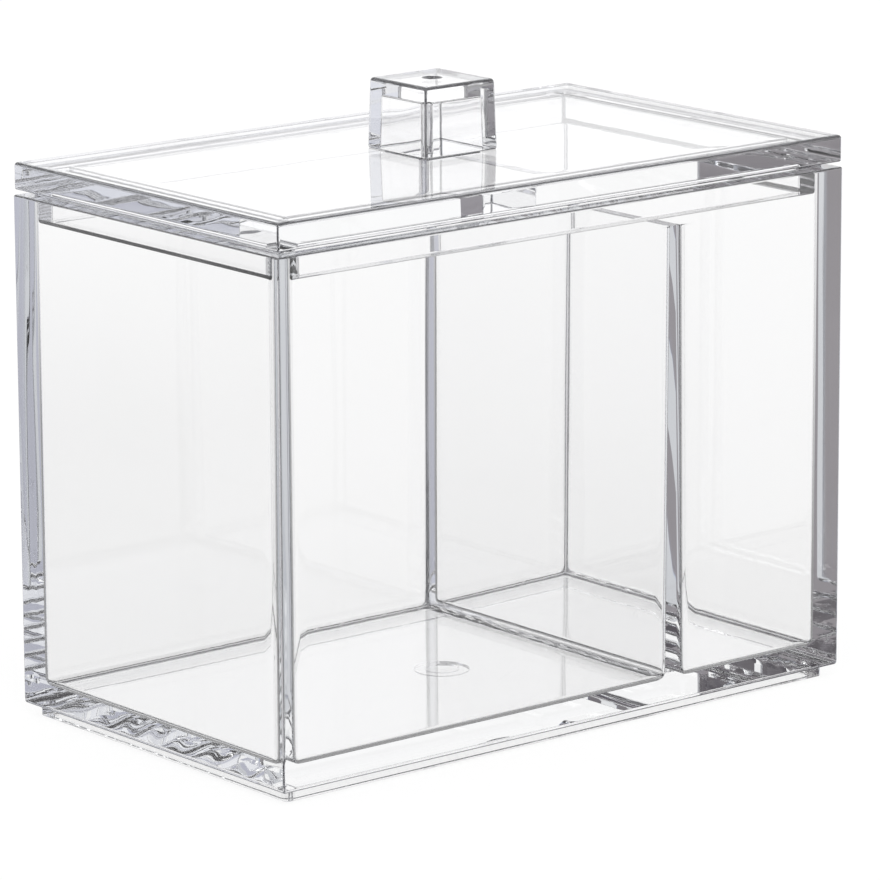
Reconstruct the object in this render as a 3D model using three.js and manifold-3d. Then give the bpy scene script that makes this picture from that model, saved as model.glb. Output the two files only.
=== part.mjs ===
// Clear two-compartment cotton swab holder: a thick-walled box on a foot ring, a lift-off lid that
// drops inside the rim, and a hollow square knob bonded to the lid over a square opening.
// Millimetres, +Z up. X runs along the long side, the front face looks along -Y, and the origin is
// the centre of the surface that the holder stands on.

import * as THREE from "three";
import { mergeVertices } from "three/addons/utils/BufferGeometryUtils.js";
import Module from "manifold-3d";

const wasm = await Module();
wasm.setup();

// Container
const bodyLength = 165.4;
const bodyWidth = 97.6;
const bodyHeight = 119.2;
const bodyCorner = 0.6;
const bodyBottomEdge = 0.9;
const wall = 5;
const wallDraft = 0.05;
const rimOuterEdge = 0.9;
const rimInnerEdge = 0.4;
const floorThickness = 5;
const floorFillet = 2;
const compartmentCorner = 1.8;

// Foot ring under the container
const footHeight = 2.8;
const footInset = 2.6;
const footWidth = 3;
const footCorner = 1.2;
const footEdge = 0.5;

// Divider between the wide and the narrow compartment
const dividerX = 33.5;
const dividerThickness = 2.85;
const dividerDraft = 0.88;
const dividerDrop = 7.9;
const dividerEdge = 0.4;

// Gate well in the underside of the floor: two steps, one inside the other
const gateDiameter = 13;
const gateDepth = 0.7;
const gateInnerDiameter = 8.3;
const gateInnerDepth = 0.5;

// Lid: a solid plate, a land that rests on the rim, and a skirt that drops inside the walls
const lidInset = 0.2;
const lidThickness = 6.3;
const lidCorner = 0.6;
const lidEdge = 0.9;
const landHeight = 1.2;
const landInset = 3.2;
const landEdge = 0.2;
const skirtClearance = 0.4;
const skirtThickness = 3.5;
const skirtDepth = 6.1;
const skirtCorner = 1;
const skirtEdge = 0.7;
const pocketFillet = 1;

// Knob: a hollow square cap, open where it is bonded to the lid
const knobSize = 21.3;
const knobHeight = 16.3;
const knobDraft = 0.42;
const knobCorner = 0.5;
const knobBaseEdge = 0.25;
const knobTopEdge = 1.1;
const knobWall = 2.9;
const knobTop = 3.9;
const knobHollowCorner = 0.6;
const dimpleDiameter = 4.8;
const dimpleDepth = 0.8;

// Fineness of the curves
const cornerSteps = 6;
const filletSteps = 4;
const roundSides = 36;

const smallestCorner = 0.15;
const cutOverrun = 1;

const rimZ = footHeight + bodyHeight;
const floorZ = footHeight + floorThickness;
const dividerTopZ = rimZ - dividerDrop;

// A loop is a rectangle with rounded corners at one height, as points in order around it.
function rectangleLoop({ left, right, front, back, corner, z }) {
  const radius = Math.max(corner, smallestCorner);
  const centres = [
    [right - radius, back - radius],
    [left + radius, back - radius],
    [left + radius, front + radius],
    [right - radius, front + radius],
  ];
  return centres.flatMap(([x, y], quarter) =>
    Array.from({ length: cornerSteps + 1 }, (_, step) => {
      const angle = ((quarter + step / cornerSteps) * Math.PI) / 2;
      return new THREE.Vector3(x + radius * Math.cos(angle), y + radius * Math.sin(angle), z);
    }),
  );
}

// A loft skins the loops in order and closes the first and the last with flat caps.
function loft(loops) {
  const count = loops[0].length;
  const positions = loops.flat().flatMap((point) => point.toArray());
  const last = (loops.length - 1) * count;
  const index = [];
  for (let ring = 0; ring < loops.length - 1; ring += 1) {
    for (let side = 0; side < count; side += 1) {
      const a = ring * count + side;
      const b = ring * count + ((side + 1) % count);
      index.push(a, b, b + count, a, b + count, a + count);
    }
  }
  for (let side = 1; side < count - 1; side += 1) {
    index.push(0, side + 1, side);
    index.push(last, last + side, last + side + 1);
  }
  const geometry = new THREE.BufferGeometry();
  geometry.setAttribute("position", new THREE.Float32BufferAttribute(positions, 3));
  geometry.setIndex(index);
  return geometry;
}

// A profile is a line of corners, each at an inset from a rectangle's sides and a height. A corner
// with a fillet becomes an arc that touches both of its sides.
function filletProfile(corners) {
  return corners.flatMap((corner, position) => {
    if (!corner.fillet) return [corner];
    const at = new THREE.Vector2(corner.inset, corner.z);
    const before = corners[position - 1];
    const after = corners[position + 1];
    const inward = new THREE.Vector2(before.inset, before.z).sub(at).normalize();
    const onward = new THREE.Vector2(after.inset, after.z).sub(at).normalize();
    const half = Math.acos(inward.dot(onward)) / 2;
    const bisector = inward.clone().add(onward).normalize();
    const centre = at.clone().addScaledVector(bisector, corner.fillet / Math.sin(half));
    const start = at.clone().addScaledVector(inward, corner.fillet / Math.tan(half)).sub(centre);
    const turn = Math.sign(inward.cross(onward)) * (2 * half - Math.PI);
    return Array.from({ length: filletSteps + 1 }, (_, step) => {
      const angle = (turn * step) / filletSteps;
      const point = start.clone().rotateAround(new THREE.Vector2(), angle).add(centre);
      return { inset: point.x, z: point.y, corner: corner.corner + corner.inset - point.x };
    });
  });
}

function profileLoft(length, width, corners) {
  const loops = filletProfile(corners).map(({ inset, z, corner }) =>
    rectangleLoop({
      left: inset - length / 2,
      right: length / 2 - inset,
      front: inset - width / 2,
      back: width / 2 - inset,
      corner,
      z,
    }),
  );
  return loft(loops);
}

function toSolid(geometry) {
  const bare = geometry.clone();
  bare.deleteAttribute("normal");
  bare.deleteAttribute("uv");
  const merged = mergeVertices(bare, 1e-5);
  return new wasm.Manifold(
    new wasm.Mesh({
      numProp: 3,
      vertProperties: new Float32Array(merged.attributes.position.array),
      triVerts: new Uint32Array(merged.index.array),
    }),
  );
}

function toGeometry(solid) {
  const mesh = solid.getMesh();
  const geometry = new THREE.BufferGeometry();
  geometry.setAttribute("position", new THREE.BufferAttribute(mesh.vertProperties, 3));
  geometry.setIndex(new THREE.BufferAttribute(mesh.triVerts, 1));
  return geometry;
}

// A round cut about the Z axis, from a profile of radius and height pairs that starts and ends on
// the axis and climbs outside it.
function roundCut(profile) {
  const geometry = new THREE.LatheGeometry(
    profile.map(([radius, height]) => new THREE.Vector2(radius, height)),
    roundSides,
  );
  return geometry.rotateX(Math.PI / 2);
}

// Container
// How far a rounded edge has moved a side away from its flat, by the height still to climb.
function edgeShift(radius, remaining) {
  const reach = Math.min(Math.max(radius - remaining, 0), radius);
  return radius - Math.sqrt(radius * radius - reach * reach);
}

// The inner faces lean in by the draft from the rim down to the floor.
function wallLean(z) {
  return (wallDraft * (rimZ - z)) / (rimZ - floorZ);
}

function innerHalfLength(z) {
  return bodyLength / 2 - wall - wallLean(z);
}

function innerHalfWidth(z) {
  return bodyWidth / 2 - wall - wallLean(z);
}

// The divider is thinnest at its top, where both of its edges are rounded.
function dividerHalfThickness(z) {
  const depth = Math.max(dividerTopZ - z, 0);
  const lean = (dividerDraft * depth) / (dividerTopZ - floorZ);
  return dividerThickness / 2 + lean - edgeShift(dividerEdge, depth);
}

function arcHeights(start, radius) {
  return Array.from({ length: filletSteps + 1 }, (_, step) => {
    const angle = (step * Math.PI) / (2 * filletSteps);
    return start + radius * (1 - Math.cos(angle));
  });
}

// The cut for one compartment: every side follows its wall, rounds into the floor, and the cut
// ends just above the divider, inside the open mouth.
function compartmentCut(leftAt, rightAt) {
  const edgeHeights = arcHeights(0, dividerEdge).map((drop) => dividerTopZ - drop);
  const heights = [
    ...arcHeights(floorZ, floorFillet),
    ...edgeHeights.reverse(),
    dividerTopZ + cutOverrun,
  ];
  const loops = heights.map((z) => {
    const inset = edgeShift(floorFillet, z - floorZ);
    return rectangleLoop({
      left: leftAt(z) + inset,
      right: rightAt(z) - inset,
      front: inset - innerHalfWidth(z),
      back: innerHalfWidth(z) - inset,
      corner: compartmentCorner - inset,
      z,
    });
  });
  return loft(loops);
}

// The open mouth above the divider, with the inner edge of the rim rounded.
function mouthCut() {
  const rimHeights = arcHeights(0, rimInnerEdge).map((drop) => rimZ - drop);
  const heights = [dividerTopZ, ...rimHeights.reverse(), rimZ + cutOverrun];
  const loops = heights.map((z) => {
    const outset = edgeShift(rimInnerEdge, Math.max(rimZ - z, 0));
    return rectangleLoop({
      left: -innerHalfLength(Math.min(z, rimZ)) - outset,
      right: innerHalfLength(Math.min(z, rimZ)) + outset,
      front: -innerHalfWidth(Math.min(z, rimZ)) - outset,
      back: innerHalfWidth(Math.min(z, rimZ)) + outset,
      corner: compartmentCorner + outset,
      z,
    });
  });
  return loft(loops);
}

// The gate well, cut upwards into the underside of the floor.
function gateCut() {
  const bottom = footHeight - cutOverrun;
  const step = footHeight + gateDepth;
  const top = step + gateInnerDepth;
  return roundCut([
    [0, bottom],
    [gateDiameter / 2, bottom],
    [gateDiameter / 2, step],
    [gateInnerDiameter / 2, step],
    [gateInnerDiameter / 2, top],
    [0, top],
  ]);
}

function containerGeometry() {
  const footInner = footInset + footWidth;
  const shell = profileLoft(bodyLength, bodyWidth, [
    { inset: footInner + footWidth, z: footHeight, corner: footCorner },
    { inset: footInner, z: footHeight, corner: footCorner, fillet: footEdge },
    { inset: footInner, z: 0, corner: footCorner, fillet: footEdge },
    { inset: footInset, z: 0, corner: footCorner, fillet: footEdge },
    { inset: footInset, z: footHeight, corner: footCorner },
    { inset: 0, z: footHeight, corner: bodyCorner, fillet: bodyBottomEdge },
    { inset: 0, z: rimZ, corner: bodyCorner, fillet: rimOuterEdge },
    { inset: wall / 2, z: rimZ, corner: bodyCorner },
  ]);
  const dividerLeft = (z) => dividerX - dividerHalfThickness(z);
  const dividerRight = (z) => dividerX + dividerHalfThickness(z);
  const wideCut = compartmentCut((z) => -innerHalfLength(z), dividerLeft);
  const narrowCut = compartmentCut(dividerRight, innerHalfLength);
  const solid = [wideCut, narrowCut, mouthCut(), gateCut()].reduce(
    (body, cut) => body.subtract(toSolid(cut)),
    toSolid(shell),
  );
  return toGeometry(solid);
}

// Lid, with its origin at the middle of the rim plane
const lidLength = bodyLength - 2 * lidInset;
const lidWidth = bodyWidth - 2 * lidInset;
const lidTopZ = landHeight + lidThickness;

function lidGeometry() {
  const skirtOuter = wall + skirtClearance - lidInset;
  const skirtInner = skirtOuter + skirtThickness;
  const landOuter = landInset - lidInset;
  const plate = profileLoft(lidLength, lidWidth, [
    { inset: skirtInner + skirtThickness, z: landHeight, corner: skirtCorner },
    { inset: skirtInner, z: landHeight, corner: skirtCorner, fillet: pocketFillet },
    { inset: skirtInner, z: -skirtDepth, corner: skirtCorner, fillet: skirtEdge },
    { inset: skirtOuter, z: -skirtDepth, corner: skirtCorner, fillet: skirtEdge },
    { inset: skirtOuter, z: 0, corner: skirtCorner },
    { inset: landOuter, z: 0, corner: skirtCorner, fillet: landEdge },
    { inset: landOuter, z: landHeight, corner: skirtCorner },
    { inset: 0, z: landHeight, corner: lidCorner, fillet: lidEdge },
    { inset: 0, z: lidTopZ, corner: lidCorner, fillet: lidEdge },
    { inset: skirtOuter, z: lidTopZ, corner: lidCorner },
  ]);
  return toGeometry(toSolid(plate).subtract(toSolid(knobOpeningCut())));
}

// The knob's hollow leans in with its sides, and runs down through the lid's plate.
function hollowInset(z) {
  return knobWall + (knobDraft * z) / knobHeight;
}

function knobOpeningCut() {
  const corners = [landHeight - cutOverrun, lidTopZ + cutOverrun].map((z) => ({
    inset: hollowInset(z - lidTopZ),
    z,
    corner: knobHollowCorner,
  }));
  return profileLoft(knobSize, knobSize, corners);
}

// Knob, with its origin at the middle of the face that is bonded to the lid
function knobGeometry() {
  const ceilingZ = knobHeight - knobTop;
  const ceilingInset = hollowInset(ceilingZ);
  const cap = profileLoft(knobSize, knobSize, [
    { inset: ceilingInset + knobWall, z: ceilingZ, corner: knobHollowCorner },
    { inset: ceilingInset, z: ceilingZ, corner: knobHollowCorner, fillet: knobHollowCorner },
    { inset: knobWall, z: 0, corner: knobHollowCorner },
    { inset: 0, z: 0, corner: knobCorner, fillet: knobBaseEdge },
    { inset: knobDraft, z: knobHeight, corner: knobCorner, fillet: knobTopEdge },
    { inset: knobWall + knobDraft, z: knobHeight, corner: knobCorner },
  ]);
  const dimple = roundCut([
    [0, knobHeight - dimpleDepth],
    [dimpleDiameter / 4, knobHeight - dimpleDepth],
    [dimpleDiameter / 2, knobHeight],
    [dimpleDiameter / 2, knobHeight + cutOverrun],
    [0, knobHeight + cutOverrun],
  ]);
  return toGeometry(toSolid(cap).subtract(toSolid(dimple)));
}

const clearPlastic = { color: 0xe9ecf0, roughness: 0.04, metalness: 0 };

function namedMesh(name, geometry) {
  const mesh = new THREE.Mesh(geometry, new THREE.MeshStandardMaterial(clearPlastic));
  mesh.name = name;
  return mesh;
}

const container = namedMesh("container", containerGeometry());
const lid = namedMesh("lid", lidGeometry());
const knob = namedMesh("knob", knobGeometry());
knob.position.z = lidTopZ;

const lidAssembly = new THREE.Group();
lidAssembly.position.z = rimZ;
lidAssembly.add(lid, knob);

const holder = new THREE.Group();
holder.add(container, lidAssembly);

export default holder;
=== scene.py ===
import math

import bpy
import numpy as np
from bpy.props import FloatProperty, FloatVectorProperty, PointerProperty
from mathutils import Matrix, Vector


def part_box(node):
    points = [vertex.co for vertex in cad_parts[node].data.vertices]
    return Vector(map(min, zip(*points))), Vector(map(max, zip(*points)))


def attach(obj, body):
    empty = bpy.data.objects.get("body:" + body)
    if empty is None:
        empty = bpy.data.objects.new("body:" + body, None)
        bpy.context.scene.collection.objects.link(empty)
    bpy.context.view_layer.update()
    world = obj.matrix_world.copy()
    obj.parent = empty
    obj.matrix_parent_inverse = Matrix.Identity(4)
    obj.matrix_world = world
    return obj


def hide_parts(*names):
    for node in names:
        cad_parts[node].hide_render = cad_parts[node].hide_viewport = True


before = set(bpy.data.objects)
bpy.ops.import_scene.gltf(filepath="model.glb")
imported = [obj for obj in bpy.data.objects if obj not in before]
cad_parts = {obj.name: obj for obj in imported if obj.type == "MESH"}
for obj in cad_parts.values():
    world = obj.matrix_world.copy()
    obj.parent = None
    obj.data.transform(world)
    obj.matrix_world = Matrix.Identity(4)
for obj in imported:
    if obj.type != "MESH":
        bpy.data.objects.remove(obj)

bl_info = {
    "name": "Clear swab holder",
    "version": (1, 0, 0),
    "blender": (4, 5, 0),
    "location": "3D View > Sidebar > Swab holder",
    "description": "Moulded surfaces, clear plastic and studio for the cotton swab holder",
    "category": "Add Mesh",
}

MM = 0.001
CORNER_STEPS = 8
FILLET_STEPS = 6
SMALLEST_CORNER = 0.15 * MM
SHARP_ANGLE = math.radians(32)
ALMOST_ZERO = 1e-9

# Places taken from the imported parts, in metres.
BODY_LOW, BODY_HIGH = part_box("container")
LID_LOW, LID_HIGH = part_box("lid")
KNOB_LOW, KNOB_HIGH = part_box("knob")
BODY_SIZE = BODY_HIGH - BODY_LOW
LID_SIZE = LID_HIGH - LID_LOW
KNOB_SIZE = KNOB_HIGH - KNOB_LOW
RIM_Z = BODY_HIGH.z
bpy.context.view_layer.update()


def length(name, description, default_mm):
    """A size that a user can change, given in millimetres and kept in metres."""
    return FloatProperty(
        name=name, description=description, default=default_mm * MM, min=0.0,
        precision=5, unit="LENGTH",
    )


class ContainerSizes(bpy.types.PropertyGroup):
    """Sizes of the container that are not read from its box."""

    wall: length("Wall", "Thickness of the walls at the rim", 5.0)
    wall_draft: length("Wall draft", "How much thicker a wall is at the floor", 0.05)
    corner: length("Corner", "Radius of the outer upright edges", 0.6)
    bottom_edge: length("Bottom edge", "Radius of the body's lower edge", 0.9)
    rim_outer: length("Rim outer edge", "Radius of the rim's outer edge", 0.5)
    rim_inner: length("Rim inner edge", "Radius of the rim's inner edge", 0.4)
    floor: length("Floor", "Thickness of the floor", 5.0)
    floor_fillet: length("Floor fillet", "Radius between the walls and the floor", 2.0)
    cell_corner: length("Cell corner", "Reach of the compartments' eased upright edges", 4.0)
    easing: FloatProperty(
        name="Easing", description="Power of the compartments' upright edges; 2 is a plain radius",
        default=5.0, min=2.0, max=8.0,
    )
    foot_height: length("Foot height", "Height of the foot ring", 2.8)
    foot_inset: length("Foot inset", "Distance of the foot ring from the walls", 2.6)
    foot_width: length("Foot width", "Width of the foot ring", 3.0)
    foot_corner: length("Foot corner", "Radius of the foot ring's corners", 1.2)
    foot_edge: length("Foot edge", "Radius of the foot ring's edges", 0.2)
    divider_x: length("Divider place", "Distance of the divider from the middle", 33.5)
    divider: length("Divider", "Thickness of the divider at its top", 2.85)
    divider_draft: length("Divider draft", "How far each divider face leans out", 0.88)
    divider_drop: length("Divider drop", "How far the divider ends below the rim", 7.9)
    divider_edge: length("Divider edge", "Radius of the divider's top edges", 0.4)
    gate: length("Gate", "Diameter of the gate well under the floor", 13.0)
    gate_depth: length("Gate depth", "Depth of the gate well", 0.7)
    gate_inner: length("Inner gate", "Diameter of the gate well's inner step", 8.3)
    gate_inner_depth: length("Inner gate depth", "Depth of the inner step", 0.5)


class LidSizes(bpy.types.PropertyGroup):
    """Sizes of the lid that are not read from its box."""

    corner: length("Corner", "Radius of the plate's upright edges", 0.6)
    edge: length("Edge", "Radius of the plate's upper edge", 0.9)
    low_edge: length("Low edge", "Radius of the plate's lower edge", 0.5)
    land_height: length("Land height", "Gap between the plate and the rim", 1.2)
    land_inset: length("Land inset", "Distance of the land from the plate's edge", 3.0)
    land_edge: length("Land edge", "Radius of the land's edge", 0.2)
    skirt_inset: length("Skirt inset", "Distance of the skirt from the plate's edge", 5.2)
    skirt: length("Skirt", "Thickness of the skirt", 3.5)
    skirt_corner: length("Skirt corner", "Radius of the skirt's upright edges", 1.0)
    skirt_edge: length("Skirt edge", "Radius of the skirt's lower edges", 0.8)
    pocket_fillet: length("Pocket fillet", "Radius between skirt and plate", 1.0)
    seat_gap: length("Seat gap", "Film of air between the lid and the rim", 0.04)


class KnobSizes(bpy.types.PropertyGroup):
    """Sizes of the knob that are not read from its box."""

    draft: length("Draft", "How far each side leans in from base to top", 0.42)
    corner: length("Corner", "Radius of the upright edges", 0.8)
    base_edge: length("Base edge", "Radius of the base's edge", 0.4)
    top_edge: length("Top edge", "Radius of the top's edge", 1.0)
    wall: length("Wall", "Thickness of the walls at the base", 2.9)
    top: length("Top", "Thickness of the top", 3.9)
    hollow_corner: length("Hollow corner", "Radius of the hollow's edges", 0.6)
    dimple: length("Dimple", "Diameter of the dimple in the top", 4.8)
    dimple_depth: length("Dimple depth", "Depth of the dimple", 0.8)
    bond_gap: length("Bond gap", "Film between the knob and the lid", 0.04)


def fillet_profile(corners):
    """Rounds the corners of a line of (inset, height, plan radius, fillet) corners.

    A corner with a fillet becomes an arc that touches both of its sides: the arc's centre lies on
    the line that halves the corner, at the fillet over the sine of half the corner's angle. The
    plan radius shrinks by as much as the inset grows. Returns one row for each point.
    """
    rows = []
    for i, (inset, height, plan, fillet) in enumerate(corners):
        if fillet == 0:
            rows.append([[inset, height, plan]])
            continue
        at = np.array([inset, height])
        inward = np.array(corners[i - 1][:2]) - at
        onward = np.array(corners[i + 1][:2]) - at
        inward /= np.linalg.norm(inward)
        onward /= np.linalg.norm(onward)
        half = math.acos(np.clip(inward @ onward, -1, 1)) / 2
        middle = inward + onward
        centre = at + middle / np.linalg.norm(middle) * fillet / math.sin(half)
        start = at + inward * fillet / math.tan(half) - centre
        turn = np.sign(inward[0] * onward[1] - inward[1] * onward[0]) * (2 * half - math.pi)
        angle = turn * np.linspace(0, 1, FILLET_STEPS + 1)
        x = centre[0] + start[0] * np.cos(angle) - start[1] * np.sin(angle)
        z = centre[1] + start[0] * np.sin(angle) + start[1] * np.cos(angle)
        rows.append(np.column_stack([x, z, plan + inset - x]))
    return np.vstack(rows)


def rectangle_rows(left, right, front, back, corner, height, stations=(), power=2.0):
    """Rows of points round rectangles with rounded corners, one row for each height.

    On a corner, a point is the corner's centre plus the radius times the cosine and the sine of
    the angle, which runs through a quarter turn. Both are raised to 2 over the power, so a power
    above 2 eases the corner into its sides. Stations are x places of further points on the back
    and front sides. Returns an array of rows, points and three coordinates.
    """
    columns = [np.asarray(v, float) for v in (left, right, front, back, corner, height, power)]
    left, right, front, back, corner, height, power = np.broadcast_arrays(*columns)
    radius = np.maximum(corner, SMALLEST_CORNER)[:, None]
    shape = 2 / power[:, None]
    quarter = np.linspace(0, math.pi / 2, CORNER_STEPS + 1)[None, :]
    x_low, x_high = left[:, None] + radius, right[:, None] - radius
    y_low, y_high = front[:, None] + radius, back[:, None] - radius
    centres = [(x_high, y_high), (x_low, y_high), (x_low, y_low), (x_high, y_low)]
    x, y = [], []
    for turn, (centre_x, centre_y) in enumerate(centres):
        angle = quarter + turn * math.pi / 2
        across, along = np.cos(angle), np.sin(angle)
        across[np.abs(across) < ALMOST_ZERO] = 0
        along[np.abs(along) < ALMOST_ZERO] = 0
        x.append(centre_x + radius * np.sign(across) * np.abs(across) ** shape)
        y.append(centre_y + radius * np.sign(along) * np.abs(along) ** shape)
        if len(stations) and turn in (0, 2):
            side = back if turn == 0 else front
            places = np.sort(stations)[::-1] if turn == 0 else np.sort(stations)
            x.append(np.broadcast_to(places, (len(left), len(stations))))
            y.append(np.broadcast_to(side[:, None], (len(left), len(stations))))
    x, y = np.hstack(x), np.hstack(y)
    return np.dstack([x, y, np.broadcast_to(height[:, None], x.shape)])


def profile_rows(size, profile, stations=(), power=2.0):
    """Carries a profile of inset, height and plan radius round a rectangle of the given size."""
    inset, height, plan = profile.T
    half_x, half_y = size[0] / 2 - inset, size[1] / 2 - inset
    return rectangle_rows(-half_x, half_x, -half_y, half_y, plan, height, stations, power)


def circle_rows(row, radius, height):
    """Circles with as many points as a row round a rectangle, starting in the same direction.

    A point is the radius times the cosine and the sine of an angle that grows by equal steps.
    """
    n = len(row)
    start = math.atan2(row[0, 1] + row[CORNER_STEPS, 1], row[0, 0] + row[CORNER_STEPS, 0])
    angle = (start + (np.arange(n) - CORNER_STEPS / 2) * 2 * math.pi / n)[None, :]
    radius = np.asarray(radius, float)[:, None]
    x, y = radius * np.cos(angle), radius * np.sin(angle)
    return np.dstack([x, y, np.broadcast_to(np.asarray(height, float)[:, None], x.shape)])


class Skin:
    """Vertices and faces of one closed mesh, gathered grid by grid."""

    def __init__(self):
        self.points = []
        self.faces = []
        self.slots = []
        self.count = 0

    def grid(self, rows, closed=True, slot=0):
        """Adds quads between the rows; each row closes on itself unless closed is False."""
        n_rows, n = rows.shape[:2]
        index = self.count + np.arange(n_rows * n).reshape(n_rows, n)
        onward = np.roll(index, -1, axis=1)
        if not closed:
            index, onward = index[:, :-1], onward[:, :-1]
        quads = [index[:-1], onward[:-1], onward[1:], index[1:]]
        self.faces.append(np.stack(quads, axis=-1).reshape(-1, 4))
        self.slots.append(np.full(len(self.faces[-1]), slot))
        self.points.append(rows.reshape(-1, 3))
        self.count += n_rows * n

    def cap(self, row, up):
        """Closes a level row with triangles to its middle, facing up or down."""
        n = len(row)
        index = self.count + np.arange(n)
        onward = np.roll(index, -1)
        middle = np.full(n, self.count + n)
        order = (index, onward, middle) if up else (onward, index, middle)
        self.faces.append(np.stack(order, axis=-1))
        self.slots.append(np.zeros(n, int))
        self.points.append(np.vstack([row, row.mean(axis=0)]))
        self.count += n + 1

    def mesh(self, name):
        """The mesh, with the rows that coincide joined and sharp edges marked by their angle."""
        points = np.round(np.vstack(self.points), 8)
        unique, where = np.unique(points, axis=0, return_inverse=True)
        where = where.ravel()
        faces = [face for group in self.faces for face in where[group].tolist()]
        mesh = bpy.data.meshes.new(name)
        mesh.from_pydata(unique.tolist(), [], faces)
        mesh.polygons.foreach_set("material_index", np.concatenate(self.slots).astype(np.int32))
        mesh.validate()
        mesh.shade_smooth()
        mesh.set_sharp_from_angle(angle=SHARP_ANGLE)
        return mesh


def add_piece(name, skin, materials, node, body):
    """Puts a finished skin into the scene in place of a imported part, riding on its body."""
    piece = bpy.data.objects.new(name, skin.mesh(name))
    bpy.context.scene.collection.objects.link(piece)
    for material in materials:
        piece.data.materials.append(material)
    normals = piece.modifiers.new("Flat faces stay flat", "WEIGHTED_NORMAL")
    normals.keep_sharp = True
    normals.weight = 100
    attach(piece, body)
    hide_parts(node)
    return piece


def edge_shift(radius, remaining):
    """How far a rounded edge has moved a side, by the height still to climb to the edge."""
    reach = np.clip(radius - remaining, 0, radius)
    return radius - np.sqrt(radius**2 - reach**2)


def arc_heights(start, radius):
    """Heights that cut a quarter circle standing on a level into equal angles."""
    return start + radius * (1 - np.cos(np.linspace(0, math.pi / 2, FILLET_STEPS + 1)))


def container_skin(s):
    """The container: a folded profile carried round the outline, and two cells below its mouth.

    The profile runs from the hollow under the floor, round the foot ring, up the outer faces, over
    the rim and down to the divider's top. Each cell's sides are functions of the height: the walls
    lean in by their draft, the divider's faces lean out, and all of them round into the floor.
    """
    skin = Skin()
    floor_z = s.foot_height + s.floor
    divider_top = RIM_Z - s.divider_drop
    foot_inner = s.foot_inset + s.foot_width

    def wall_inset(z):
        return s.wall + s.wall_draft * (RIM_Z - z) / (RIM_Z - floor_z)

    def divider_half(z):
        depth = np.maximum(divider_top - z, 0)
        lean = s.divider_draft * depth / (divider_top - floor_z)
        return s.divider / 2 + lean - edge_shift(s.divider_edge, depth)

    narrow = float(divider_half(np.array(divider_top)))
    stations = [
        s.divider_x - narrow - s.cell_corner,
        s.divider_x + narrow + s.cell_corner,
    ]
    outside = fillet_profile([
        (foot_inner + s.foot_width, s.foot_height, s.foot_corner, 0),
        (foot_inner, s.foot_height, s.foot_corner, s.foot_edge),
        (foot_inner, 0, s.foot_corner, s.foot_edge),
        (s.foot_inset, 0, s.foot_corner, s.foot_edge),
        (s.foot_inset, s.foot_height, s.foot_corner, 0),
        (0, s.foot_height, s.corner, s.bottom_edge),
        (0, RIM_Z, s.corner, s.rim_outer),
        (s.wall / 2, RIM_Z, s.corner, 0),
    ])[:-1]
    drops = arc_heights(0, s.rim_inner)
    heights = np.append(RIM_Z - drops, divider_top)
    shift = edge_shift(s.rim_inner, RIM_Z - heights)
    mouth = np.column_stack([wall_inset(heights) - shift, heights, s.cell_corner + shift])
    powers = np.repeat([2.0, s.easing], [len(outside), len(mouth)])
    rows = profile_rows(BODY_SIZE, np.vstack([outside, mouth]), stations, powers)
    skin.grid(rows)

    # The floor's underside, with the gate well's two steps in its middle.
    gate, inner = s.gate / 2, s.gate_inner / 2
    step, top = s.foot_height + s.gate_depth, s.foot_height + s.gate_depth + s.gate_inner_depth
    underside = circle_rows(
        rows[0], [inner, inner, gate, gate], [top, step, step, s.foot_height]
    )
    skin.grid(np.concatenate([underside, rows[:1]]))
    skin.cap(underside[0], up=False)

    edge = divider_top - arc_heights(0, s.divider_edge)
    cell_heights = np.concatenate([edge, arc_heights(floor_z, s.floor_fillet)[::-1]])
    round_in = edge_shift(s.floor_fillet, cell_heights - floor_z)
    inset = wall_inset(cell_heights) + round_in
    end_x = BODY_SIZE.x / 2 - inset
    side_y = BODY_SIZE.y / 2 - inset
    plan = s.cell_corner - round_in
    half = divider_half(cell_heights) + round_in
    wide = rectangle_rows(
        -end_x, s.divider_x - half, -side_y, side_y, plan, cell_heights, power=s.easing
    )
    slim = rectangle_rows(
        s.divider_x + half, end_x, -side_y, side_y, plan, cell_heights, power=s.easing
    )
    for cell in (wide, slim):
        skin.grid(cell)
        skin.cap(cell[-1], up=True)

    # The divider's top, between the nearest sides of the two cells.
    n = CORNER_STEPS + 1
    wide_side = np.vstack([wide[0, 3 * n:], wide[0, :n]])
    slim_side = np.vstack([slim[0, n:2 * n], slim[0, 2 * n:3 * n]])[::-1]
    skin.grid(np.stack([slim_side, wide_side]), closed=False)
    return skin


def hollow_half(knob, height):
    """Half size of the knob's hollow, which narrows upwards, at a height over the plate's top."""
    return KNOB_SIZE.x / 2 - knob.wall - knob.draft * height / KNOB_SIZE.z


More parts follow.
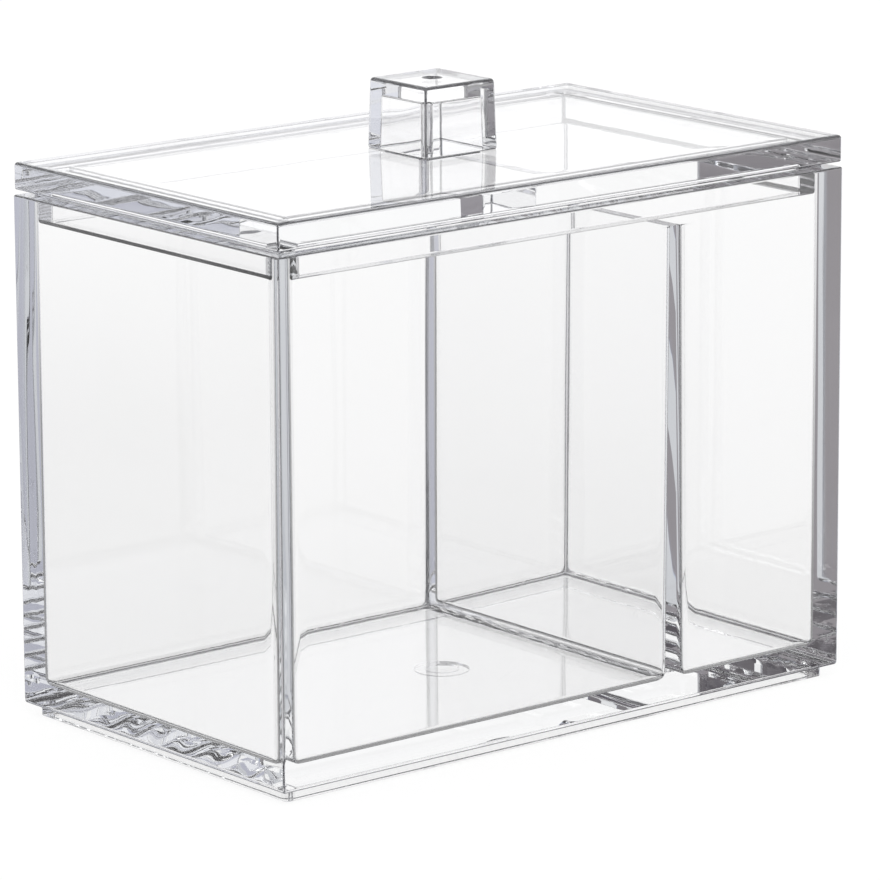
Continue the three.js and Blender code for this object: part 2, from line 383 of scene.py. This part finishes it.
def lid_skin(s, knob):
    """The lid: one folded profile carried round the outline, closed through the knob's opening.

    The profile runs from the opening's lower edge along the pocket's ceiling, round the skirt and
    the plate's side, over the top to the ring that the knob is bonded to, and down the opening.
    """
    skin = Skin()
    seat = RIM_Z + s.seat_gap
    plate = RIM_Z + s.land_height
    inner = s.skirt_inset + s.skirt
    rows = profile_rows(LID_SIZE, fillet_profile([
        (inner + s.skirt, plate, s.skirt_corner, 0),
        (inner, plate, s.skirt_corner, s.pocket_fillet),
        (inner, LID_LOW.z, s.skirt_corner, s.skirt_edge),
        (s.skirt_inset, LID_LOW.z, s.skirt_corner, s.skirt_edge),
        (s.skirt_inset, seat, s.skirt_corner, 0),
        (s.land_inset, seat, s.skirt_corner, s.land_edge),
        (s.land_inset, plate, s.skirt_corner, 0),
        (0, plate, s.corner, s.low_edge),
        (0, LID_HIGH.z, s.corner, s.edge),
        (s.skirt_inset, LID_HIGH.z, s.corner, 0),
    ]))
    half = np.array([
        KNOB_SIZE.x / 2 - knob.base_edge,
        hollow_half(knob, 0),
        hollow_half(knob, plate - LID_HIGH.z),
    ])
    corner = [knob.corner, knob.hollow_corner, knob.hollow_corner]
    ring = rectangle_rows(-half, half, -half, half, corner, [LID_HIGH.z, LID_HIGH.z, plate])
    skin.grid(np.concatenate([ring[2:], rows, ring[:1]]))
    skin.grid(ring[:2], slot=1)
    skin.grid(ring[1:])
    return skin


def knob_skin(s):
    """The knob: a profile from the hollow's ceiling, under the base and up to the dimple."""
    skin = Skin()
    base = KNOB_LOW.z + s.bond_gap
    tall = KNOB_SIZE.z
    ceiling = KNOB_HIGH.z - s.top
    ceiling_inset = s.wall + s.draft * (tall - s.top) / tall
    inside = profile_rows(KNOB_SIZE, fillet_profile([
        (ceiling_inset + s.wall, ceiling, s.hollow_corner, 0),
        (ceiling_inset, ceiling, s.hollow_corner, s.hollow_corner),
        (s.wall, base, s.hollow_corner, 0),
    ]))
    rows = profile_rows(KNOB_SIZE, fillet_profile([
        (s.wall, base, s.hollow_corner, 0),
        (0, base, s.corner, s.base_edge),
        (s.draft, KNOB_HIGH.z, s.corner, s.top_edge),
        (s.wall + s.draft, KNOB_HIGH.z, s.corner, 0),
    ]))
    rim = s.dimple / 2
    dimple = circle_rows(
        rows[-1], [rim, rim / 2], [KNOB_HIGH.z, KNOB_HIGH.z - s.dimple_depth]
    )
    skin.cap(inside[0], up=False)
    skin.grid(inside)
    skin.grid(rows[:2], slot=1)
    skin.grid(np.concatenate([rows[1:], dimple]))
    skin.cap(dimple[-1], up=True)
    return skin


class Wire:
    """A shader socket or a number, so that a formula can be written as an expression."""

    def __init__(self, tree, value):
        self.tree, self.value = tree, value

    def math(self, operation, *others):
        node = self.tree.nodes.new("ShaderNodeMath")
        node.operation = operation
        for socket, item in zip(node.inputs, (self, *others)):
            value = item.value if isinstance(item, Wire) else item
            if isinstance(value, bpy.types.NodeSocket):
                self.tree.links.new(value, socket)
            else:
                socket.default_value = value
        return Wire(self.tree, node.outputs[0])

    def __add__(self, other):
        return self.math("ADD", other)

    def __radd__(self, other):
        return self.math("ADD", other)

    def __sub__(self, other):
        return self.math("SUBTRACT", other)

    def __rsub__(self, other):
        return Wire(self.tree, other).math("SUBTRACT", self)

    def __mul__(self, other):
        return self.math("MULTIPLY", other)

    def __rmul__(self, other):
        return self.math("MULTIPLY", other)

    def maximum(self, other):
        return self.math("MAXIMUM", other)

    def minimum(self, other):
        return self.math("MINIMUM", other)

    def clamp(self):
        """This value, kept between 0 and 1."""
        return self.minimum(1.0).maximum(0.0)


class Shader:
    """Builds a node tree: one method makes any node from its settings and sockets."""

    def __init__(self, tree):
        self.tree = tree
        tree.nodes.clear()

    def node(self, kind, settings=None, **inputs):
        """A node of this kind. An input's name has its spaces written as underscores."""
        node = self.tree.nodes.new("ShaderNode" + kind)
        for name, value in (settings or {}).items():
            if name == "ramp":
                self.fill_ramp(node.color_ramp, value)
            else:
                setattr(node, name, value)
        for name, value in inputs.items():
            socket = self.socket(node, name)
            value = value.value if isinstance(value, Wire) else value
            if isinstance(value, bpy.types.NodeSocket):
                self.tree.links.new(value, socket)
            else:
                socket.default_value = value
        return node

    @staticmethod
    def socket(node, name):
        """The input with this name, or the numbered one where several share a name."""
        if name.startswith("input_"):
            return node.inputs[int(name[6:])]
        return node.inputs[name.replace("_", " ")]

    @staticmethod
    def fill_ramp(ramp, stops):
        """Sets a colour ramp's stops from (position, colour) pairs."""
        while len(ramp.elements) > 1:
            ramp.elements.remove(ramp.elements[-1])
        for i, (position, colour) in enumerate(stops):
            stop = ramp.elements[0] if i == 0 else ramp.elements.new(position)
            stop.position = position
            stop.color = (*colour, 1.0)

    def wire(self, node, output=0):
        return Wire(self.tree, node.outputs[output])

    def blend(self, factor, low, high):
        """A colour between low and high, by the factor."""
        mix = self.node("Mix", {"data_type": "RGBA"}, input_0=factor, input_6=low, input_7=high)
        return mix.outputs[2]


class PlasticLook(bpy.types.PropertyGroup):
    """The clear plastic that all three mouldings share."""

    tint: FloatVectorProperty(
        name="Tint", description="Colour of the surface", subtype="COLOR", size=3,
        default=(1.0, 1.0, 1.0), min=0.0, max=1.0,
    )
    depth_tint: FloatVectorProperty(
        name="Depth tint", description="Colour that the plastic's thickness turns light to",
        subtype="COLOR", size=3, default=(0.9, 0.92, 0.95), min=0.0, max=1.0,
    )
    density: FloatProperty(
        name="Density", description="How fast light is taken up, per metre", default=1.0,
        min=0.0,
    )
    # Painted shade: the rounded edges are the same clear plastic, and this darker colour stands in
    # for the dark refractions seen along them.
    painted_edge_shade: FloatVectorProperty(
        name="Painted edge shade", description="Colour of the rounded edges, which pass less light",
        subtype="COLOR", size=3, default=(0.22, 0.22, 0.24), min=0.0, max=1.0,
    )
    bending: FloatProperty(
        name="Index of refraction", description="How strongly the plastic bends light",
        default=1.59, min=1.0, max=2.0,
    )
    bond: FloatProperty(
        name="Bond", description="How much light the bond under the knob holds back",
        default=0.3, min=0.0, max=1.0,
    )
    waves: length("Waves", "Height of the long waves in the upright faces", 0.12)
    streaks: length("Streaks", "Height of the fine upright streaks in the walls", 0.018)
    # Painted reflection: a dark line on the lower edge of the skirt's ends, standing in for a dark
    # reflection; the plastic there is clear.
    seam: FloatProperty(
        name="Seam", description="How dark the parting line under the ends of the skirt is",
        default=1.0, min=0.0, max=1.0,
    )
    swirls: length("Swirls", "Height of the swirls in the ends of the floor and the lid", 0.035)


# A rounded edge is where the largest part of the surface's normal falls below the first number.
# There the base colour is darkened as painted shade, standing in for the dark refractions along
# rounded edges.
FLATTEST_EDGE = 0.945
EDGE_GAIN = 10.0
EDGE_FADE = 0.5 * MM
SIDE_INSET = 2 * MM

# Flow of the melt: upright streaks ten times as long as wide, and nearly none on level faces.
STREAK_STRETCH = (1, 1, 0.1)
LEVEL_LOSS = 0.85

# Heights of the floor's top and of the plate's underside, where the swirls fade in.
SLAB_TOP = 8.5 * MM
PLATE_UNDER = 122.8 * MM
SWIRL_FADE = MM / 0.9
PLATE_SWIRLS = 0.15

# The painted dark reflection on the lower edge of the skirt's ends, how soon it sets in, and the
# colours of it and of the dark lines of painted shade on rounded edges.
END_REFLECTION_HEIGHT = 1.1 * MM
END_REFLECTION_FADE = 0.125 * MM
END_REFLECTION_SIDE_FADE = 0.25 * MM
END_REFLECTION_PATCHES = 2.5
END_REFLECTION_COLOUR = (0.01, 0.01, 0.011, 1.0)
EDGE_SHADE_COLOUR = (0.05, 0.048, 0.055, 1.0)


def rise(value, distance):
    """0 where the value is negative, 1 where it is past the distance, and even in between."""
    return (value * (1 / distance)).clamp()


def clear_plastic(look, name, edge_shade_fading=0.0, end_inset=SIDE_INSET, seam=0.0, edge_shade_lines=0.0):
    """Clear moulded plastic: smooth, faintly rippled by its flow, and slightly tinted in depth.

    An edge is where the largest part of the normal is below FLATTEST_EDGE. There the base colour is
    darkened towards the painted edge shade: painted shade that stands in for the dark refractions
    along rounded edges. Edges that lie inside the lid's outline get a fainter painted shade by the
    given part. Inside means SIDE_INSET from the long sides and the end inset from the short ones.
    An end reflection distance, from the middle, puts a painted dark reflection on the skirt's ends
    beyond it. Edge shade lines is how far rounded edges turn into dark lines of painted shade.
    """
    material = bpy.data.materials.new(name)
    material.use_nodes = True
    shader = Shader(material.node_tree)
    coordinates = shader.node("TexCoord")
    place = coordinates.outputs["Object"]
    where = shader.node("SeparateXYZ", Vector=place)
    across, along = (shader.wire(where, i).math("ABSOLUTE") for i in range(2))
    height = shader.wire(where, 2)
    facing = shader.node("SeparateXYZ", Vector=coordinates.outputs["Normal"])
    x, y, z = (shader.wire(facing, i).math("ABSOLUTE") for i in range(3))
    # Mask of the painted edge shade, from how far the normal leans off the axes.
    edge = ((FLATTEST_EDGE - x.maximum(y).maximum(z)) * EDGE_GAIN).clamp()
    inside = (LID_SIZE.x / 2 - end_inset - across).minimum(LID_SIZE.y / 2 - SIDE_INSET - along)
    edge = edge * (1.0 - rise(inside, EDGE_FADE) * edge_shade_fading)

    # Flow of the melt: long waves, fine upright streaks, and swirls in the ends of floor and lid.
    upright = shader.node(
        "VectorMath", {"operation": "MULTIPLY"}, input_0=place, input_1=STREAK_STRETCH
    )
    waves = shader.wire(shader.node("TexNoise", Vector=place, Scale=16.0, Detail=0.0))
    streaks = shader.wire(
        shader.node("TexNoise", Vector=upright.outputs[0], Scale=110.0, Detail=1.0)
    )
    swirls = shader.wire(shader.node(
        "TexWave", {"bands_direction": "DIAGONAL"}, Vector=place, Scale=60.0, Distortion=4.0,
        Detail=0.0, Detail_Scale=0.4,
    ), "Fac")
    low = rise(SLAB_TOP - height, SWIRL_FADE)
    high = rise(height - PLATE_UNDER, SWIRL_FADE).minimum(PLATE_SWIRLS)
    flow = (waves * look.waves + streaks * look.streaks) * (1.0 - z * LEVEL_LOSS)
    relief = flow + swirls * low.maximum(high) * x * look.swirls
    bump = shader.node("Bump", Strength=1.0, Distance=1.0, Height=relief)
    # Painted shade: a darker base colour on the rounded edges.
    colour = shader.blend(edge, (*look.tint, 1.0), (*look.painted_edge_shade, 1.0))
    surface = shader.node(
        "BsdfPrincipled", Base_Color=colour, Roughness=0.0, IOR=look.bending,
        Transmission_Weight=1.0, Normal=bump.outputs[0],
    )
    if seam:
        # A painted dark reflection: a dark line on the rounded lower edge of the skirt's two ends.
        end = rise(across - seam, END_REFLECTION_SIDE_FADE)
        under = rise(LID_LOW.z + END_REFLECTION_HEIGHT - height, END_REFLECTION_FADE)
        patchy = (waves * END_REFLECTION_PATCHES).minimum(1.0)
        surface = darkened(shader, surface, end * under * patchy * look.seam, END_REFLECTION_COLOUR)
    # Painted shade: rounded edges turn towards a dull dark surface, as dark lines.
    if edge_shade_lines:
        surface = darkened(shader, surface, edge * edge_shade_lines, EDGE_SHADE_COLOUR)
    depth = shader.node("VolumeAbsorption", Color=(*look.depth_tint, 1.0), Density=look.density)
    shader.node("OutputMaterial", Surface=surface.outputs[0], Volume=depth.outputs[0])
    return material


def darkened(shader, surface, factor, colour):
    """The surface, mixed by the factor with a dull one of a dark colour."""
    dull = shader.node("BsdfPrincipled", Base_Color=colour, Roughness=0.4)
    return shader.node(
        "MixShader", input_0=factor, input_1=surface.outputs[0], input_2=dull.outputs[0]
    )


def bond(look, name):
    """The clear bond between knob and lid: light passes nearly straight through it."""
    material = bpy.data.materials.new(name)
    material.use_nodes = True
    shader = Shader(material.node_tree)
    place = shader.node("TexCoord").outputs["Object"]
    spread = shader.wire(shader.node("TexNoise", Vector=place, Scale=400.0, Detail=2.0))
    surface = shader.node(
        "BsdfPrincipled", Base_Color=(0.3, 0.3, 0.32, 1.0), Roughness=0.2,
        Alpha=spread * look.bond,
    )
    shader.node("OutputMaterial", Surface=surface.outputs[0])
    return material


class HOLDER_OT_container(bpy.types.Operator):
    """Build the container with its two compartments, divider and foot ring"""

    bl_idname = "swab_holder.container"
    bl_label = "Container"

    def execute(self, context):
        scene = context.scene
        look = scene.holder_plastic
        materials = [clear_plastic(look, "container_plastic", edge_shade_fading=0.8)]
        skin = container_skin(scene.holder_container)
        add_piece("container_moulding", skin, materials, "container", "container")
        return {"FINISHED"}


class HOLDER_OT_lid(bpy.types.Operator):
    """Build the lift-off lid with its land and skirt"""

    bl_idname = "swab_holder.lid"
    bl_label = "Lid"

    def execute(self, context):
        scene = context.scene
        look = scene.holder_plastic
        sizes = scene.holder_lid
        # Where the painted dark reflection on the skirt's ends begins, from the middle.
        seam = LID_SIZE.x / 2 - sizes.skirt_inset - sizes.skirt_edge
        plastic = clear_plastic(
            look, "lid_plastic", edge_shade_fading=0.6, end_inset=14 * MM, seam=seam
        )
        materials = [plastic, bond(look, "lid_bond")]
        skin = lid_skin(sizes, scene.holder_knob)
        add_piece("lid_moulding", skin, materials, "lid", "lid")
        return {"FINISHED"}


class HOLDER_OT_knob(bpy.types.Operator):
    """Build the hollow square knob with the dimple in its top"""

    bl_idname = "swab_holder.knob"
    bl_label = "Knob"

    def execute(self, context):
        scene = context.scene
        look = scene.holder_plastic
        # The knob's rounded edges also get dark lines of painted shade.
        plastic = clear_plastic(look, "knob_plastic", edge_shade_fading=0.15, edge_shade_lines=0.5)
        materials = [plastic, bond(look, "knob_bond")]
        skin = knob_skin(scene.holder_knob)
        add_piece("knob_moulding", skin, materials, "knob", "lid")
        return {"FINISHED"}


class StageLook(bpy.types.PropertyGroup):
    """The studio: camera, floor, lamp and surroundings."""

    floor_size: length("Floor size", "Side of the square floor", 6000.0)
    lens: FloatProperty(
        name="Lens", description="Focal length of the camera", default=232.9, min=1.0,
    )
    azimuth: FloatProperty(
        name="Azimuth", description="Direction of the camera round the holder",
        default=math.radians(-39.4), unit="ROTATION",
    )
    elevation: FloatProperty(
        name="Elevation", description="Height of the camera above the horizon",
        default=math.radians(13.13), unit="ROTATION",
    )
    roll: FloatProperty(
        name="Roll", description="Turn of the camera about its view",
        default=math.radians(-0.29), unit="ROTATION",
    )
    lamp: FloatProperty(
        name="Lamp", description="Strength of the soft overhead lamp", default=1.2, min=0.0,
    )


CAMERA_PLACE = Vector((-811.8, -990.5, 359.8)) * MM


def place_camera(look):
    """A camera at the photograph's place, turned by azimuth, elevation and a small roll.

    Its back direction is the sine and minus the cosine of the azimuth, both times the cosine of
    the elevation, with the sine of the elevation as its height.
    """
    data = bpy.data.cameras.new("camera")
    data.lens = look.lens
    data.sensor_width = 36.0
    data.clip_start = 0.05
    data.clip_end = 50.0
    camera = bpy.data.objects.new("camera", data)
    back = Vector((
        math.sin(look.azimuth) * math.cos(look.elevation),
        -math.cos(look.azimuth) * math.cos(look.elevation),
        math.sin(look.elevation),
    ))
    aim = (-back).to_track_quat("-Z", "Y").to_matrix().to_4x4()
    camera.matrix_world = (
        Matrix.Translation(CAMERA_PLACE) @ aim @ Matrix.Rotation(look.roll, 4, "Z")
    )
    bpy.context.scene.collection.objects.link(camera)
    bpy.context.scene.camera = camera


def seen_directly(shader):
    """1 for rays from the camera, also through the plastic, that no face has mirrored, else 0."""
    path = shader.node("LightPath")
    mirrored = shader.wire(path, "Glossy Depth").minimum(1.0)
    through = shader.wire(path, "Is Transmission Ray") * (1.0 - mirrored)
    return (shader.wire(path, "Is Camera Ray") + through).minimum(1.0)


# Tones of the room round the holder, by direction in degrees from +X towards +Y: below the
# horizon, above it, and deep in the plastic, after five mirrored faces or more.
ROOM_LOW = (
    (-180, (0.34, 0.32, 0.34)), (-125, (0.46, 0.46, 0.48)), (-75, (0.50, 0.51, 0.53)),
    (-50, (0.62, 0.64, 0.74)), (-22, (0.67, 0.70, 0.78)), (-5, (0.95, 0.96, 0.98)),
    (20, (1.0, 1.0, 1.0)), (95, (1.0, 1.0, 1.0)), (108, (0.60, 0.70, 0.90)),
    (118, (0.28, 0.27, 0.31)), (135, (0.26, 0.242, 0.257)), (180, (0.30, 0.285, 0.30)),
)
ROOM_HIGH = (
    (-180, (0.16, 0.15, 0.16)), (-130, (0.36, 0.36, 0.38)), (-75, (0.78, 0.80, 0.85)),
    (-50, (0.97, 0.98, 1.0)), (-25, (0.98, 0.99, 1.0)), (0, (1.0, 1.0, 1.0)),
    (95, (1.0, 1.0, 1.0)), (108, (0.50, 0.56, 0.72)), (118, (0.10, 0.09, 0.11)),
    (140, (0.05, 0.045, 0.05)), (180, (0.12, 0.11, 0.12)),
)
ROOM_DEEP = (
    (-180, (0.30, 0.285, 0.30)), (-125, (0.36, 0.36, 0.38)), (-50, (0.49, 0.50, 0.58)),
    (-15, (0.56, 0.58, 0.62)), (20, (0.62, 0.635, 0.66)), (95, (0.62, 0.635, 0.66)),
    (108, (0.50, 0.56, 0.70)), (118, (0.30, 0.29, 0.32)), (135, (0.28, 0.262, 0.275)),
    (180, (0.30, 0.285, 0.30)),
)
ROOM_STEEP = (0.07, 0.068, 0.072, 1.0)
ROOM_ONCE = (0.95, 0.95, 0.96)
DEEP_MIRRORS = 4.0
DEEP_FACES = 4.0

# How a tone sets in with the climb z of a direction: the climb times the first number, plus the
# second, kept between 0 and 1.
HIGH_RISE = (7.0, -1.1)
CEILING_RISE = (7.0, -2.2)
STEEP_RISE = (6.0, -2.9)
LEVEL_RISE = (40.0, 8.2)
LEVEL_SHARE = 0.35

# Brightness after one mirrored face: its rise with the climb, what is added to the left, and the
# limits, of which the lower one is lifted for light that has crossed many faces.
ONCE_RISE = (9.0, 2.6)
LEFT_RISE = (3.3, 0.49)
LEFT_GAIN = -5.0
ONCE_LEAST, ONCE_MOST = 0.33, 1.2
FAR_LIFT = 0.45

# Shade of the floor's paper. Its own glow makes up the rest of white.
PAPER = 0.08
LAMP_TURN = (math.radians(30), math.radians(-20), 0)


def room_tone(shader, tones, turn):
    """Colours round the room: a ramp over the direction's angle, given as a part of a turn."""
    stops = [(angle / 360 + 0.5, colour) for angle, colour in tones]
    return shader.node("ValToRGB", {"ramp": stops}, Fac=turn).outputs[0]


def climb(z, line):
    """The climb z times the line's first number plus its second, kept between 0 and 1."""
    gain, offset = line
    return (z * gain + offset).clamp()


def once_mirrored(shader, x, z, path):
    """The tone after one mirrored face: brighter towards the horizon, most of all on the right.

    It is ROOM_ONCE times a brightness, which rises in a straight line with the climb z, more
    steeply for directions to the left, between ONCE_LEAST and ONCE_MOST. The lower limit is
    higher for light that has crossed many faces.
    """
    left = (x * LEFT_GAIN).clamp()
    far = (shader.wire(path, "Transmission Depth") - DEEP_FACES).clamp()
    gain, offset = ONCE_RISE
    left_gain, left_offset = LEFT_RISE
    lit = z * (left * left_gain + gain) + left * left_offset + offset
    lit = lit.minimum(ONCE_MOST).maximum(far * FAR_LIFT + ONCE_LEAST)
    scaled = shader.node("VectorMath", {"operation": "SCALE"}, input_0=ROOM_ONCE, Scale=lit)
    return scaled.outputs[0]


def studio_world():
    """White where it is seen directly, and a room with dim and bright sides in reflections.

    A mirrored ray's tone goes round the room with its direction's angle, and changes with its
    climb from low to high and to a dark ceiling. A ray mirrored once gets a tone of its own.
    """
    world = bpy.data.worlds.new("studio")
    bpy.context.scene.world = world
    world.use_nodes = True
    shader = Shader(world.node_tree)
    split = shader.node("SeparateXYZ", Vector=shader.node("TexCoord").outputs["Generated"])
    x, y, z = (shader.wire(split, i) for i in range(3))
    turn = y.math("ARCTAN2", x) * (0.5 / math.pi) + 0.5
    low, high, deep = (
        room_tone(shader, tones, turn) for tones in (ROOM_LOW, ROOM_HIGH, ROOM_DEEP)
    )
    path = shader.node("LightPath")
    mirrors = shader.wire(path, "Glossy Depth")
    once = 1.0 - (mirrors - 1.0).math("ABSOLUTE").minimum(1.0)
    above = climb(z, HIGH_RISE).maximum(climb(z, LEVEL_RISE) * LEVEL_SHARE)
    tone = shader.blend((mirrors - DEEP_MIRRORS).clamp(), low, deep)
    tone = shader.blend(above, tone, high)
    tone = shader.blend(climb(z.math("ABSOLUTE"), STEEP_RISE), tone, ROOM_STEEP)
    tone = shader.blend(once, tone, once_mirrored(shader, x, z, path))
    white = shader.node("Background", Color=(1.0, 1.0, 1.0, 1.0), Strength=1.0)
    room = shader.node("Background", Color=tone, Strength=1.0)
    direct = seen_directly(shader) * (1.0 - climb(z, CEILING_RISE))
    plain = shader.wire(path, "Is Camera Ray") + shader.wire(path, "Is Diffuse Ray") + direct
    mix = shader.node(
        "MixShader", input_0=plain.minimum(1.0), input_1=room.outputs[0],
        input_2=white.outputs[0],
    )
    shader.node("OutputWorld", Surface=mix.outputs[0])


def stage_floor(look):
    """A pale floor, white where it is lit, with a soft shadow; mirrored rays pass to the room."""
    half = look.floor_size / 2
    mesh = bpy.data.meshes.new("floor")
    mesh.from_pydata(
        [(-half, -half, 0), (half, -half, 0), (half, half, 0), (-half, half, 0)], [], [(0, 1, 2, 3)]
    )
    floor = bpy.data.objects.new("floor", mesh)
    bpy.context.scene.collection.objects.link(floor)
    material = bpy.data.materials.new("floor_paper")
    material.use_nodes = True
    shader = Shader(material.node_tree)
    paper = shader.node("BsdfDiffuse", Color=(PAPER, PAPER, PAPER, 1.0))
    glow = shader.node("Emission", Color=(1.0, 1.0, 1.0, 1.0), Strength=1 - PAPER)
    lit = shader.node("AddShader", input_0=paper.outputs[0], input_1=glow.outputs[0])
    clear = shader.node("BsdfTransparent")
    mix = shader.node(
        "MixShader", input_0=seen_directly(shader), input_1=clear.outputs[0],
        input_2=lit.outputs[0],
    )
    shader.node("OutputMaterial", Surface=mix.outputs[0])
    mesh.materials.append(material)


def studio_lamp(look):
    """One wide soft lamp from the upper left, for a faint shadow."""
    data = bpy.data.lights.new("soft_lamp", "SUN")
    data.energy = look.lamp
    data.angle = math.radians(50)
    lamp = bpy.data.objects.new("soft_lamp", data)
    lamp.rotation_euler = LAMP_TURN
    bpy.context.scene.collection.objects.link(lamp)


class HOLDER_OT_stage(bpy.types.Operator):
    """Set up the camera, the pale floor, the lamp and the surroundings"""

    bl_idname = "swab_holder.stage"
    bl_label = "Stage"

    def execute(self, context):
        look = context.scene.holder_stage
        place_camera(look)
        studio_world()
        stage_floor(look)
        studio_lamp(look)
        context.scene.view_settings.view_transform = "Standard"
        # Light crosses and mirrors off many faces of clear plastic before it leaves.
        context.scene.cycles.max_bounces = 48
        context.scene.cycles.glossy_bounces = 40
        context.scene.cycles.transmission_bounces = 24
        return {"FINISHED"}


class HOLDER_PT_panel(bpy.types.Panel):
    """Lists the holder's pieces and its stage"""

    bl_idname = "HOLDER_PT_panel"
    bl_label = "Swab holder"
    bl_space_type = "VIEW_3D"
    bl_region_type = "UI"
    bl_category = "Swab holder"

    def draw(self, context):
        for step in STEPS:
            self.layout.operator(step.bl_idname)


STEPS = (HOLDER_OT_container, HOLDER_OT_lid, HOLDER_OT_knob, HOLDER_OT_stage)
GROUPS = {
    "holder_container": ContainerSizes,
    "holder_lid": LidSizes,
    "holder_knob": KnobSizes,
    "holder_plastic": PlasticLook,
    "holder_stage": StageLook,
}


def register():
    for group in (*GROUPS.values(), *STEPS, HOLDER_PT_panel):
        bpy.utils.register_class(group)
    for name, group in GROUPS.items():
        setattr(bpy.types.Scene, name, PointerProperty(type=group))


def unregister():
    for name in GROUPS:
        delattr(bpy.types.Scene, name)
    for group in reversed((*GROUPS.values(), *STEPS, HOLDER_PT_panel)):
        bpy.utils.unregister_class(group)


def main():
    """Registers the classes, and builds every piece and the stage."""
    register()
    bpy.ops.swab_holder.container()
    bpy.ops.swab_holder.lid()
    bpy.ops.swab_holder.knob()
    bpy.ops.swab_holder.stage()


if __name__ == "__main__":
    main()
